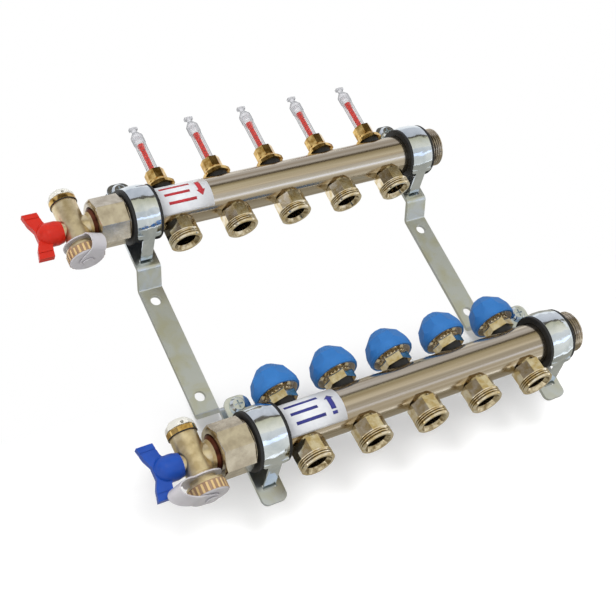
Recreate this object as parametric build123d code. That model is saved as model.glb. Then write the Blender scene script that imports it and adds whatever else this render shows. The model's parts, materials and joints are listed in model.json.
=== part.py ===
from build123d import *
import os
from math import asin, atan2, cos, degrees, radians, sqrt, tan

os.makedirs("parts", exist_ok=True)

# Heating manifold with a supply bar above and a return bar below, on two wall brackets.
# Frame: X along the bars towards the open threads, Y into the wall, Z up.
# The origin lies on the wall, in the middle of the four mounting holes. Millimetres.

# Layout
circuits = 5
circuit_spacing = 50.0
first_circuit_offset = 28.0
last_circuit_offset = 32.0
supply_height = 100.7
return_height = -112.0
return_roll = 8.0
bar_left_overhang = 30.0
bar_right_overhang = 26.0

# Strip brackets
strip_width = 20.0
strip_thickness = 3.0
strip_end_radius = 5.0
bend_inner_radius = 1.5
upper_jog = 16.3
lower_jog = 46.6
upper_jog_bottom = 55.2
upper_jog_top = 65.3
lower_jog_top = -58.3
lower_jog_bottom = -74.3
strip_above_bar = 39.0
strip_below_bar = 41.6
mount_hole_spacing = 88.0
mount_hole_diameter = 8.5
slot_below_bar = 28.5
slot_width = 11.0
slot_height = 4.0

# Bars
bar_diameter = 33.7
bar_wall = 1.5
bar_thread_diameter = 33.2
bar_left_thread_length = 17.5
bar_right_thread_length = 13.0
bar_mouth_chamfer = 0.6
outlet_port_diameter = 16.0
meter_port_diameter = 12.0

# Outlets
outlet_neck_diameter = 19.0
outlet_collar_clearance = 0.15
outlet_collar_flats = 24.0
outlet_reach = 34.5
outlet_thread_diameter = 26.4
outlet_thread_length = 6.4
outlet_mouth_diameter = 21.0
outlet_seat_depth = 3.0
outlet_chamfer = 0.8

# Clamps
saddle_reach = 23.5
clamp_width = 20.0
clamp_sheet = 1.5
clamp_edge_radius = 20.65
clamp_crown_radius = 21.6
clamp_flat_share = 0.35
liner_lip_width = 2.5
liner_lip_radius = 22.0
saddle_height = 22.0
ear_setback = 14.0
ear_top = 40.0
ear_corner = 7.0
clamp_screw_height = 32.0
screw_diameter = 6.0
screw_head_diameter = 12.5
screw_head_height = 3.6
screw_head_bevel = 1.8
screw_recess = 1.8
screw_recess_width = 1.2
screw_tail = 3.0
ear_hole_clearance = 0.2
tongue_width = 10.0
tongue_shoulder = 4.0
tongue_shoulder_radius = 3.0
tongue_tail = 1.6

# Flow meters
meter_neck_diameter = 18.0
meter_flange_bottom = 18.3
meter_flange_top = 21.4
meter_flange_flats = 22.0
meter_nut_bottom = 25.0
meter_nut_top = 34.0
meter_nut_flats = 15.4
meter_shoulder_diameter = 19.0
sight_diameter = 9.4
sight_bore = 6.8
sight_seat = 27.0
sight_cap_bottom = 62.6
sight_cap_diameter = 10.4
sight_cap_top = 73.4
sight_cap_edge = 1.0
sight_cap_dome = 3.0
nipple_diameter = 4.4
nipple_top = 79.4
nipple_ear_width = 7.0
nipple_ear_bottom = 77.0
indicator_play = 0.05
indicator_rod_diameter = 4.4
indicator_top = 62.0
indicator_bottom = 30.0
indicator_flare_height = 5.0
indicator_passage_diameter = 6.0

# Return valves
insert_root_diameter = 18.0
insert_hex_flats = 21.0
insert_hex_bottom = 18.6
insert_hex_top = 25.5
insert_collar_diameter = 21.6
insert_collar_top = 28.2
insert_neck_diameter = 16.0
insert_bore_diameter = 12.0
insert_head_bottom = 31.0
insert_head_top = 37.5
insert_head_diameter = 24.0
insert_gland_bottom = 27.0
cap_play = 0.05
cap_rim_height = 27.4
cap_rim_bevel = 1.6
cap_diameter = 35.8
cap_rim_diameter = 34.2
cap_rim_flats = 37.6
cap_skirt_top = 33.8
cap_skirt_flats = 35.3
cap_shoulder_height = 42.8
cap_shoulder_flats = 28.5
cap_top = 50.2
cap_top_flats = 14.0
cap_sides = 10
cap_cavity_diameter = 31.2
cap_cavity_top = 32.6
cap_bore_top = 43.8
pin_diameter = 4.0
pin_top = 41.4
pin_cone_height = 2.0
pin_play = 0.05
valve_disc_diameter = 15.2
valve_disc_height = 2.5
valve_disc_lift = 3.85

# End sets, measured from the tee's axis
tee_to_bar = 22.5
tee_body_diameter = 19.8
supply_tee_top = 22.2
return_tee_top = 18.6
tee_bottom = 11.6
tee_arm_diameter = 17.4
tee_flare_start = 10.5
tee_flare_end = 14.0
tee_flare_diameter = 26.4
tee_crotch_fillet = 1.6
tail_collar_diameter = 31.6
tail_collar_width = 3.0
gasket_thickness = 2.0
gasket_bore = 22.0
drain_neck_diameter = 19.0
drain_thread_top = 18.2
drain_thread_bottom = 26.6
drain_thread_diameter = 26.4
tee_bore_diameter = 11.0
vent_socket_diameter = 14.0
vent_socket_depth = 6.0
spindle_boss_diameter = 13.0
spindle_boss_length = 9.9
ball_diameter = 15.0
ball_bore_diameter = 10.0
ball_web = 1.0
ball_play = 0.05
spindle_diameter = 6.0
nut_flats = 37.0
nut_before_bar = 8.0
nut_over_bar = 15.5
nut_hole_diameter = 28.0
nut_face_diameter = 34.8
nut_sides = 8
supply_nut_roll = 15.0
return_nut_roll = 0.0
vent_ring_diameter = 21.6
vent_ring_height = 5.0
vent_ring_edge = 0.6
vent_spigot_diameter = 8.0
vent_spigot_length = 4.4
vent_hole_diameter = 2.4
vent_cap_gap = 0.3
vent_cap_diameter = 20.0
vent_cap_shoulder_diameter = 18.8
vent_cap_top_diameter = 13.4
vent_cap_skirt = 3.2
vent_cap_height = 6.0
vent_cap_sides = 8
vent_play = 0.05
drain_cap_diameter = 27.9
drain_cap_top = 20.2
drain_cap_bottom = 28.2
drain_cap_edge = 0.8
drain_cap_play = 0.05
drain_rib_count = 24
drain_rib_depth = 0.4
drain_rib_root = 0.2
drain_rib_width = 1.6
drain_rib_margin = 0.8
button_stem_diameter = 5.0
button_head_diameter = 9.0
button_head_height = 1.0
strap_thickness = 1.0
strap_width = 13.0
strap_gap = 0.3
strap_ring_width = 4.6
strap_ring_height = 13.8
supply_strap_bulge = 6.4
return_strap_bulge = 18.0
supply_strap_turn = -65.0
return_strap_turn = -152.0

# Wing handles, measured outwards from the tee's axis
hub_diameter = 19.0
hub_start = 10.5
hub_shoulder = 14.5
hub_shoulder_diameter = 17.0
hub_nose_start = 21.5
hub_end = 30.0
spindle_cover = 4.0
wing_thickness = 5.0
wing_reach = 20.0
wing_waist = 11.0
wing_root = 19.0
wing_root_height = 6.6
wing_waist_inner = 21.5
wing_tip_inner = 23.0
wing_tip_outer = 35.0
wing_waist_outer = 33.0
wing_nose_height = 4.6
grip_groove_height = 15.2
grip_groove_depth = 0.5
grip_groove_width = 1.4

# Derived sizes
bar_radius = bar_diameter / 2
bar_inner_radius = bar_radius - bar_wall
bracket_spacing = first_circuit_offset + circuit_spacing * (circuits - 1) + last_circuit_offset
left_bracket_x = -bracket_spacing / 2
bracket_xs = [left_bracket_x, -left_bracket_x]
bar_left_end = left_bracket_x - bar_left_overhang
bar_right_end = bar_right_overhang - left_bracket_x
circuit_xs = [left_bracket_x + first_circuit_offset + circuit_spacing * i for i in range(circuits)]
supply_depth = -(strip_thickness + upper_jog + saddle_reach)
return_depth = -(strip_thickness + lower_jog + saddle_reach)
supply_front = supply_depth + saddle_reach
return_front = return_depth + saddle_reach
tee_x = bar_left_end - tee_to_bar
supply_place = Location((0, supply_depth, supply_height))
return_place = Location((0, return_depth, return_height))
return_tilt = return_place * Rotation(-return_roll, 0, 0)
collar_top = bar_radius + outlet_collar_clearance
collar_bottom = outlet_reach - outlet_thread_length
band_mid_radius = clamp_crown_radius + clamp_sheet / 2


def turned(points):
    """Solid turned about Z from a closed outline of (radius, height) points."""
    return revolve(make_face(Plane.XZ * Polyline(*points, close=True)), Axis.Z)


def turnedAlongBar(points):
    """Solid turned about X from a closed outline of (position, radius) points."""
    return revolve(make_face(Plane.XZ * Polyline(*points, close=True)), Axis.X)


def polygon(flats, sides):
    """Regular outline with the given width across flats and a flat towards X."""
    return RegularPolygon(flats / 2, sides, major_radius=False, rotation=180 / sides)


def prism(flats, sides, bottom, top):
    """Upright prism with the given width across flats."""
    outline = polygon(flats, sides)
    return extrude(Plane.XY.offset(bottom) * outline, top - bottom)


def rod(diameter, bottom, top):
    """Upright round rod between two heights."""
    return extrude(Plane.XY.offset(bottom) * Circle(diameter / 2), top - bottom)


def crossRod(diameter, start, end):
    """Round rod along X between two positions."""
    return extrude(Plane.YZ.offset(start) * Circle(diameter / 2), end - start)


def tiered(levels, sides):
    """Upright solid through regular outlines given as (height, flats)."""
    solid = None
    for lower, upper in zip(levels, levels[1:]):
        outlines = [Plane.XY.offset(height) * polygon(flats, sides) for height, flats in (lower, upper)]
        tier = loft(outlines, ruled=True)
        solid = tier if solid is None else solid + tier
    return solid


def save(shape, name):
    export_step(shape, "parts/" + name + ".step")


# Strip brackets, drawn from the side as one bent strip
front_line = [
    (supply_front, supply_height + strip_above_bar),
    (supply_front, upper_jog_top),
    (-strip_thickness, upper_jog_bottom),
    (-strip_thickness, lower_jog_top),
    (return_front, lower_jog_bottom),
    (return_front, return_height - strip_below_bar),
]
back_line = [
    (supply_front + strip_thickness, front_line[0][1]),
    (supply_front + strip_thickness, 0),
    (0, 0),
    (0, 0),
    (return_front + strip_thickness, 0),
    (return_front + strip_thickness, front_line[5][1]),
]


def bendShift(start, end):
    """Height by which the far face of a bend lies above its near face."""
    slope = atan2(end[0] - start[0], start[1] - end[1])
    return strip_thickness * tan(abs(slope) / 2)


upper_shift = bendShift(front_line[1], front_line[2])
lower_shift = bendShift(front_line[3], front_line[4])
back_line[1] = (back_line[1][0], upper_jog_top + upper_shift)
back_line[2] = (0, upper_jog_bottom + upper_shift)
back_line[3] = (0, lower_jog_top - lower_shift)
back_line[4] = (back_line[4][0], lower_jog_bottom - lower_shift)
strip_face = make_face(Plane.YZ * Polyline(*(front_line + back_line[::-1]), close=True))
strip_solid = extrude(strip_face, strip_width / 2, both=True)


def bendEdges(solid, places, radius):
    """Rounds the edges that run along X through the given (depth, height) places."""
    chosen = []
    for edge in solid.edges().filter_by(Axis.X):
        middle = edge.center()
        for place in places:
            if abs(middle.Y - place[0]) < 0.01 and abs(middle.Z - place[1]) < 0.01:
                chosen.append(edge)
    return fillet(chosen, radius)


bend_outer_radius = bend_inner_radius + strip_thickness
inner_bends = [back_line[1], front_line[2], front_line[3], back_line[4]]
outer_bends = [front_line[1], back_line[2], back_line[3], front_line[4]]
strip_solid = bendEdges(strip_solid, inner_bends, bend_inner_radius)
strip_solid = bendEdges(strip_solid, outer_bends, bend_outer_radius)
end_corners = []
for edge in strip_solid.edges().filter_by(Axis.Y):
    corner_height = edge.center().Z
    if abs(corner_height - front_line[0][1]) < 0.01 or abs(corner_height - front_line[5][1]) < 0.01:
        end_corners.append(edge)
strip_solid = fillet(end_corners, strip_end_radius)
through = 200.0
for height in (mount_hole_spacing / 2, -mount_hole_spacing / 2):
    strip_solid -= Location((0, 0, height), (90, 0, 0)) * Cylinder(mount_hole_diameter / 2, through)
for height in (supply_height, return_height):
    slot = Box(slot_width, through, slot_height)
    strip_solid -= Location((0, 0, height - slot_below_bar)) * slot
    tapped = Location((0, 0, height + clamp_screw_height), (90, 0, 0))
    strip_solid -= tapped * Cylinder(screw_diameter / 2, through)
save(Location((bracket_xs[0], 0, 0)) * strip_solid, "bracket_left")
save(Location((bracket_xs[1], 0, 0)) * strip_solid, "bracket_right")

# Bars
thread_radius = bar_thread_diameter / 2
left_thread_end = bar_left_end + bar_left_thread_length
right_thread_start = bar_right_end - bar_right_thread_length
bar_outline = [
    (bar_left_end, bar_inner_radius),
    (bar_left_end, thread_radius - bar_mouth_chamfer),
    (bar_left_end + bar_mouth_chamfer, thread_radius),
    (left_thread_end, thread_radius),
    (left_thread_end, bar_radius),
    (right_thread_start, bar_radius),
    (right_thread_start, thread_radius),
    (bar_right_end - bar_mouth_chamfer, thread_radius),
    (bar_right_end, thread_radius - bar_mouth_chamfer),
    (bar_right_end, bar_inner_radius),
]
plain_bar = turnedAlongBar(bar_outline)
solid_bar = crossRod(bar_diameter, bar_left_end, bar_right_end)
supply_bar = plain_bar
return_bar = plain_bar
for x in circuit_xs:
    down_port = Location((x, 0, 0)) * rod(outlet_port_diameter, -bar_diameter, 0)
    supply_bar -= down_port
    return_bar -= down_port
    supply_bar -= Location((x, 0, 0)) * rod(meter_port_diameter, 0, bar_diameter)
    return_bar -= Location((x, 0, 0)) * rod(outlet_port_diameter, 0, bar_diameter)
save(supply_place * supply_bar, "supply_bar")
save(return_tilt * return_bar, "return_bar")

# Outlets, pointing down from the bar
thread_r = outlet_thread_diameter / 2
outlet_neck = rod(outlet_neck_diameter, -collar_top, -bar_radius / 2)
outlet_collar = prism(outlet_collar_flats, 8, -collar_bottom, -collar_top)
outlet_thread = turned([
    (0, -collar_bottom),
    (thread_r, -collar_bottom),
    (thread_r, -outlet_reach + outlet_chamfer),
    (thread_r - outlet_chamfer, -outlet_reach),
    (0, -outlet_reach),
])
outlet_bore = turned([
    (0, 0),
    (outlet_port_diameter / 2, 0),
    (outlet_port_diameter / 2, -outlet_reach + outlet_seat_depth),
    (outlet_mouth_diameter / 2, -outlet_reach),
    (0, -outlet_reach),
])
outlet = outlet_neck + outlet_collar + outlet_thread - outlet_bore
outlets = []
for x in circuit_xs:
    outlets.append((Location((x, 0, 0)) * outlet - solid_bar).solid())
save(supply_place * Compound(children=outlets), "supply_outlets")
save(return_tilt * Compound(children=outlets), "return_outlets")

# Clamps: a sheet band over a rubber liner, hooked in the slot and screwed at its ear
half_clamp = clamp_width / 2
crown_half = half_clamp * clamp_flat_share
band_inner = [
    (-half_clamp, clamp_edge_radius),
    (-crown_half, clamp_crown_radius),
    (crown_half, clamp_crown_radius),
    (half_clamp, clamp_edge_radius),
]
band_outer = [(x, r + clamp_sheet) for x, r in band_inner]
ear_back = ear_setback + clamp_sheet
ear_angle = degrees(asin((ear_setback + ear_back) / 2 / band_mid_radius))
slot_middle = saddle_reach + strip_thickness / 2
slot_distance = sqrt(slot_below_bar ** 2 + slot_middle ** 2)
tongue_slope = degrees(asin(1.0))
tongue_slope -= degrees(asin(band_mid_radius / slot_distance))
tongue_slope -= degrees(atan2(slot_middle, slot_below_bar))
band_arc = ear_angle + 180 - tongue_slope
band_section = make_face(Plane.XZ * Polyline(*(band_inner + band_outer[::-1]), close=True))
band = Rotation(-ear_angle, 0, 0) * revolve(band_section, Axis.X, band_arc)
ear_root = sqrt(clamp_crown_radius ** 2 - ear_setback ** 2)
ear_face = Plane.XZ * RectangleRounded(clamp_width, ear_top - ear_root + ear_corner, ear_corner)
ear_lift = Location((0, ear_back, (ear_top + ear_root - ear_corner) / 2))
ear = ear_lift * extrude(ear_face, clamp_sheet)
ear_trim = Location((0, 0, ear_root - through / 2)) * Box(through, through, through)
ear_hole = Location((0, 0, clamp_screw_height), (90, 0, 0))
ear = ear - ear_trim - ear_hole * Cylinder(screw_diameter / 2 + ear_hole_clearance, through)
tongue_turn = radians(tongue_slope)
tongue_run = slot_middle / cos(tongue_turn) + band_mid_radius * tan(tongue_turn)
tongue_end = tongue_run + strip_thickness / 2 + tongue_tail
tongue_plan = RectangleRounded(clamp_width, 2 * tongue_shoulder, tongue_shoulder_radius)
tongue_plan += Rectangle(tongue_width, 2 * tongue_end)
tongue_plan &= Rectangle(clamp_width, tongue_end, align=(Align.CENTER, Align.MIN))
tongue = extrude(tongue_plan, clamp_sheet / 2, both=True)
tongue = Rotation(-tongue_slope, 0, 0) * (Location((0, 0, -band_mid_radius)) * tongue)
clamp_band = band + ear + tongue

lip_edge = half_clamp + liner_lip_width
liner_outline = [
    (-lip_edge, bar_radius),
    (-lip_edge, liner_lip_radius),
    (-half_clamp, liner_lip_radius),
]
liner_outline += band_inner
liner_outline += [
    (half_clamp, liner_lip_radius),
    (lip_edge, liner_lip_radius),
    (lip_edge, bar_radius),
]
saddle = Box(clamp_width, saddle_reach, saddle_height, align=(Align.CENTER, Align.MIN, Align.CENTER))
saddle -= crossRod(bar_diameter, -clamp_width, clamp_width)
clamp_liner = turnedAlongBar(liner_outline) + saddle

head_r = screw_head_diameter / 2
screw_length = saddle_reach - ear_setback + strip_thickness + screw_tail
screw = turned([
    (0, -screw_head_height),
    (head_r - screw_head_bevel, -screw_head_height),
    (head_r, -screw_head_height + screw_head_bevel),
    (head_r, 0),
    (screw_diameter / 2, 0),
    (screw_diameter / 2, screw_length),
    (0, screw_length),
])
recess_arm = Box(screw_head_diameter / 2, screw_recess_width, 2 * screw_recess)
recess = recess_arm + Rotation(0, 0, 90) * recess_arm
screw -= Location((0, 0, -screw_head_height)) * recess
clamp_screw = Location((0, ear_setback, clamp_screw_height), (-90, 0, 0)) * screw

clamp_liners = []
clamp_screws = []
for bar_name, place in (("supply", supply_place), ("return", return_place)):
    for side, x in (("left", bracket_xs[0]), ("right", bracket_xs[1])):
        spot = place * Location((x, 0, 0))
        save(spot * clamp_band, bar_name + "_clamp_" + side)
        clamp_liners.append((spot * clamp_liner).solid())
        clamp_screws.append((spot * clamp_screw).solid())
save(Compound(children=clamp_liners), "clamp_liners")
save(Compound(children=clamp_screws), "clamp_screws")

# Flow meters on the supply bar
sight_r = sight_diameter / 2
passage_r = indicator_passage_diameter / 2
shoulder_r = meter_shoulder_diameter / 2
neck_r = meter_neck_diameter / 2
meter_base = rod(meter_neck_diameter, bar_radius / 2, meter_flange_bottom)
flange_edge = (meter_flange_top - meter_flange_bottom) / 4
flange_r = meter_flange_flats / 2
meter_flange = prism(meter_flange_flats, 6, meter_flange_bottom, meter_flange_top)
meter_flange &= turned([
    (0, meter_flange_bottom),
    (flange_r * 1.1, meter_flange_bottom),
    (flange_r * 1.1, meter_flange_top - flange_edge),
    (flange_r, meter_flange_top),
    (0, meter_flange_top),
])
meter_shoulder = turned([
    (0, meter_flange_top),
    (shoulder_r, meter_flange_top),
    (meter_nut_flats / 2, meter_nut_bottom),
    (0, meter_nut_bottom),
])
meter_nut = prism(meter_nut_flats, 8, meter_nut_bottom, meter_nut_top)
meter_base = meter_base + meter_flange + meter_shoulder + meter_nut
meter_base -= rod(indicator_passage_diameter, 0, meter_nut_top)
meter_base -= rod(sight_diameter, sight_seat, meter_nut_top)
bore_r = sight_bore / 2
cap_r = sight_cap_diameter / 2
nipple_r = nipple_diameter / 2
dome_start = sight_cap_top - sight_cap_dome
sight_tube = turned([
    (bore_r, sight_seat),
    (sight_r, sight_seat),
    (sight_r, sight_cap_bottom),
    (cap_r, sight_cap_bottom + sight_cap_edge),
    (cap_r, dome_start),
    (nipple_r + sight_cap_edge, sight_cap_top),
    (nipple_r, sight_cap_top + sight_cap_edge),
    (nipple_r, nipple_top),
    (0, nipple_top),
    (0, dome_start),
    (bore_r, dome_start - sight_cap_edge),
])
ear_block_height = nipple_top - nipple_ear_bottom
ear_block = Box(nipple_ear_width, nipple_diameter * 0.8, ear_block_height)
sight_tube += Location((0, 0, nipple_ear_bottom + ear_block_height / 2)) * ear_block
flare_r = bore_r - indicator_play
flow_indicator = turned([
    (0, indicator_bottom),
    (indicator_rod_diameter / 2, indicator_bottom),
    (indicator_rod_diameter / 2, indicator_top - indicator_flare_height),
    (flare_r, indicator_top - indicator_flare_height / 3),
    (flare_r, indicator_top),
    (0, indicator_top),
])
for i, x in enumerate(circuit_xs):
    number = str(i + 1)
    spot = supply_place * Location((x, 0, 0))
    save(spot * (meter_base - crossRod(bar_diameter, -bar_diameter, bar_diameter)), "flow_meter_base_" + number)
    save(spot * sight_tube, "sight_tube_" + number)
    save(spot * flow_indicator, "flow_indicator_" + number)

# Valve inserts, pins and caps on the return bar
insert_head_r = insert_head_diameter / 2
insert_neck_r = insert_neck_diameter / 2
valve_insert = rod(insert_root_diameter, bar_radius / 2, insert_hex_bottom)
valve_insert += prism(insert_hex_flats, 6, insert_hex_bottom, insert_hex_top)
valve_insert += turned([
    (0, insert_hex_top),
    (insert_collar_diameter / 2, insert_hex_top),
    (insert_collar_diameter / 2, insert_collar_top),
    (insert_neck_r, insert_collar_top),
    (insert_neck_r, insert_head_bottom),
    (insert_head_r, insert_head_bottom),
    (insert_head_r, insert_head_top),
    (0, insert_head_top),
])
valve_insert -= rod(insert_bore_diameter, 0, insert_gland_bottom)
valve_insert -= rod(pin_diameter + 2 * pin_play, insert_gland_bottom, insert_head_top)
valve_insert -= crossRod(bar_diameter, -bar_diameter, bar_diameter)
valve_disc_r = valve_disc_diameter / 2
valve_disc_bottom = valve_disc_lift - bar_inner_radius
valve_disc_top = valve_disc_bottom + valve_disc_height
valve_pin = turned([
    (0, valve_disc_bottom),
    (valve_disc_r, valve_disc_bottom),
    (valve_disc_r, valve_disc_top),
    (pin_diameter / 2, valve_disc_top + pin_cone_height),
    (pin_diameter / 2, pin_top),
    (0, pin_top),
])
cap_body = turned([
    (0, cap_rim_height),
    (cap_rim_diameter / 2, cap_rim_height),
    (cap_diameter / 2, cap_rim_height + cap_rim_bevel),
    (cap_diameter / 2, cap_top),
    (0, cap_top),
])
cap_facets = tiered([
    (cap_rim_height, cap_rim_flats),
    (cap_skirt_top, cap_skirt_flats),
    (cap_shoulder_height, cap_shoulder_flats),
    (cap_top, cap_top_flats),
], cap_sides)
cap_hollow = rod(cap_cavity_diameter, cap_rim_height, cap_cavity_top)
cap_hollow += rod(insert_head_diameter + 2 * cap_play, cap_rim_height, cap_bore_top)
valve_cap = (cap_body & cap_facets) - cap_hollow
for i, x in enumerate(circuit_xs):
    number = str(i + 1)
    spot = return_tilt * Location((x, 0, 0))
    save(spot * valve_insert, "valve_insert_" + number)
    save(spot * valve_pin, "valve_pin_" + number)
    save(spot * valve_cap, "valve_cap_" + number)

# End sets: union nut, tee with vent and drain, ball with spindle and wing handle
collar_right = tee_to_bar - gasket_thickness
collar_left = collar_right - tail_collar_width


def endTee(top):
    """Tee with its vent socket above, drain thread below and collared arm towards the bar."""
    tee = rod(tee_body_diameter, -tee_bottom, top) + crossRod(tee_arm_diameter, 0, collar_left)
    crotch = tee.edges().filter_by(lambda e: e.geom_type not in (GeomType.LINE, GeomType.CIRCLE))
    tee = fillet(crotch, tee_crotch_fillet)
    tee += turnedAlongBar([
        (tee_flare_start, 0),
        (tee_flare_start, tee_arm_diameter / 2),
        (tee_flare_end, tee_flare_diameter / 2),
        (collar_left, tee_flare_diameter / 2),
        (collar_left, tail_collar_diameter / 2),
        (collar_right, tail_collar_diameter / 2),
        (collar_right, 0),
    ])
    tee += rod(drain_neck_diameter, -drain_thread_top, -tee_bottom)
    tee += rod(drain_thread_diameter, -drain_thread_bottom, -drain_thread_top)
    tee += crossRod(spindle_boss_diameter, -spindle_boss_length, 0)
    tee -= Sphere(ball_diameter / 2 + ball_play)
    tee -= rod(tee_bore_diameter, -drain_thread_bottom, top)
    tee -= rod(vent_socket_diameter, top - vent_socket_depth, top)
    tee -= crossRod(tee_bore_diameter, 0, collar_right)
    tee -= crossRod(spindle_diameter + 2 * ball_play, -spindle_boss_length, 0)
    return tee


spindle_end = spindle_cover - hub_end
drain_ball = Sphere(ball_diameter / 2)
drain_ball -= rod(ball_bore_diameter, -ball_diameter, ball_diameter)
drain_ball -= crossRod(ball_bore_diameter, 0, ball_diameter)
drain_ball += crossRod(spindle_diameter, spindle_end, -ball_bore_diameter / 2 - ball_web)

hub_r = hub_diameter / 2
nose_length = hub_end - hub_nose_start
nose_arc = EllipticalCenterArc((-hub_nose_start, 0), nose_length, hub_r, start_angle=90, arc_size=90)
hub_flank = Polyline(
    (-hub_nose_start, hub_r),
    (-hub_shoulder, hub_r),
    (-hub_start, hub_shoulder_diameter / 2),
    (-hub_start, 0),
    (-hub_end, 0),
)
wing_handle = revolve(make_face(Plane.XZ * (nose_arc + hub_flank)), Axis.X)
wing_outline = [
    (-wing_root, 0),
    (-wing_root, wing_root_height),
    (-wing_waist_inner, wing_waist),
    (-wing_tip_inner, wing_reach),
    (-wing_tip_outer, wing_reach),
    (-wing_waist_outer, wing_waist),
    (-hub_end, wing_nose_height),
    (-hub_end, 0),
]
upper_wing = make_face(Plane.XZ * Polyline(*wing_outline, close=True))
upper_wing = extrude(upper_wing, wing_thickness / 2, both=True)
groove_x = -(wing_tip_inner + wing_tip_outer) / 2
grip_cut = Box(wing_reach, grip_groove_depth * 2, grip_groove_width)
for depth in (wing_thickness / 2, -wing_thickness / 2):
    upper_wing -= Location((groove_x, depth, grip_groove_height)) * grip_cut
wing_handle += upper_wing
wing_handle += mirror(upper_wing, Plane.XY)
wing_handle -= crossRod(spindle_diameter, spindle_end, -hub_start)

nut_length = nut_before_bar + nut_over_bar
nut_face_r = nut_face_diameter / 2
nut_corner = nut_flats / 2 / cos(radians(180 / nut_sides))
nut_blank = prism(nut_flats, nut_sides, 0, nut_length) & turned([
    (0, 0),
    (nut_face_r, 0),
    (nut_corner, (nut_corner - nut_face_r) / 2),
    (nut_corner, nut_length),
    (0, nut_length),
])
nut_blank -= rod(nut_hole_diameter, 0, nut_length)
nut_blank -= rod(bar_thread_diameter, nut_before_bar - gasket_thickness - tail_collar_width, nut_length)
union_nut = Location((bar_left_end - nut_before_bar, 0, 0), (0, 90, 0)) * nut_blank

union_gasket = turnedAlongBar([
    (bar_left_end - gasket_thickness, gasket_bore / 2),
    (bar_left_end - gasket_thickness, tail_collar_diameter / 2),
    (bar_left_end, tail_collar_diameter / 2),
    (bar_left_end, gasket_bore / 2),
])

# Vent plug and vent cap, drawn from the tee's top
ring_r = vent_ring_diameter / 2
spigot_top = vent_ring_height + vent_spigot_length
vent_plug = turned([
    (vent_hole_diameter / 2, -vent_socket_depth),
    (vent_socket_diameter / 2, -vent_socket_depth),
    (vent_socket_diameter / 2, 0),
    (ring_r - vent_ring_edge, 0),
    (ring_r, vent_ring_edge),
    (ring_r, vent_ring_height - vent_ring_edge),
    (ring_r - vent_ring_edge, vent_ring_height),
    (vent_spigot_diameter / 2, vent_ring_height),
    (vent_spigot_diameter / 2, spigot_top),
    (vent_hole_diameter / 2, spigot_top),
])
vent_base = vent_ring_height + vent_cap_gap
vent_cap = tiered([
    (vent_base, vent_cap_diameter),
    (vent_base + vent_cap_skirt, vent_cap_shoulder_diameter),
    (vent_base + vent_cap_height, vent_cap_top_diameter),
], vent_cap_sides)
vent_cap -= rod(vent_spigot_diameter + 2 * vent_play, vent_base, spigot_top + vent_cap_gap)
vent_side_hole = Location((0, -vent_cap_diameter / 2, vent_base + vent_cap_skirt / 2), (90, 0, 0))
vent_cap -= vent_side_hole * Cylinder(vent_hole_diameter / 2, vent_cap_diameter / 2)

# Drain cap with grip ribs and the button that holds its strap
drain_cap_r = drain_cap_diameter / 2
cap_inner_r = drain_thread_diameter / 2 + drain_cap_play
drain_floor = -drain_thread_bottom - strap_gap
eye_top = -drain_cap_bottom - strap_gap
eye_bottom = eye_top - strap_thickness
button_top = eye_bottom - strap_gap
drain_cap = turned([
    (0, drain_floor),
    (cap_inner_r, drain_floor),
    (cap_inner_r, -drain_cap_top),
    (drain_cap_r, -drain_cap_top),
    (drain_cap_r, -drain_cap_bottom + drain_cap_edge),
    (drain_cap_r - drain_cap_edge, -drain_cap_bottom),
    (button_stem_diameter / 2, -drain_cap_bottom),
    (button_stem_diameter / 2, button_top),
    (button_head_diameter / 2, button_top),
    (button_head_diameter / 2, button_top - button_head_height),
    (0, button_top - button_head_height),
])
rib_height = drain_cap_bottom - drain_cap_top - 2 * drain_rib_margin
rib_x = drain_cap_r + (drain_rib_depth - drain_rib_root) / 2
rib = Box(drain_rib_depth + drain_rib_root, drain_rib_width, rib_height)
rib = Location((rib_x, 0, -(drain_cap_top + drain_cap_bottom) / 2)) * rib
for i in range(drain_rib_count):
    drain_cap += Rotation(0, 0, 360 / drain_rib_count * i) * rib


def drainStrap(bulge, turn):
    """Strap with a ring on the drain neck, a half-elliptic loop and an eye under the cap."""
    strap_ring_r = drain_neck_diameter / 2 + strap_ring_width
    root = strap_ring_r - strap_thickness
    loop_top = -strap_ring_height
    half = (loop_top - eye_bottom) / 2
    centre = (root, (loop_top + eye_bottom) / 2)
    outer = EllipticalCenterArc(centre, bulge, half, start_angle=-90, arc_size=180)
    inner_sizes = (bulge - strap_thickness, half - strap_thickness)
    inner = EllipticalCenterArc(centre, *inner_sizes, start_angle=-90, arc_size=180)
    ends = Line(outer @ 0, inner @ 0) + Line(outer @ 1, inner @ 1)
    loop = extrude(make_face(Plane.XZ * (outer + inner + ends)), strap_width / 2, both=True)
    ring = rod(2 * strap_ring_r, loop_top - strap_thickness, loop_top)
    ring -= rod(drain_neck_diameter, loop_top - strap_thickness, loop_top)
    run = Box(root, strap_width, strap_thickness, align=(Align.MIN, Align.CENTER, Align.MIN))
    eye = rod(strap_width, eye_bottom, eye_top) + Location((0, 0, eye_bottom)) * run
    eye -= rod(button_stem_diameter + 2 * strap_gap, eye_bottom, eye_top)
    return Rotation(0, 0, turn) * (ring + loop + eye)


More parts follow.
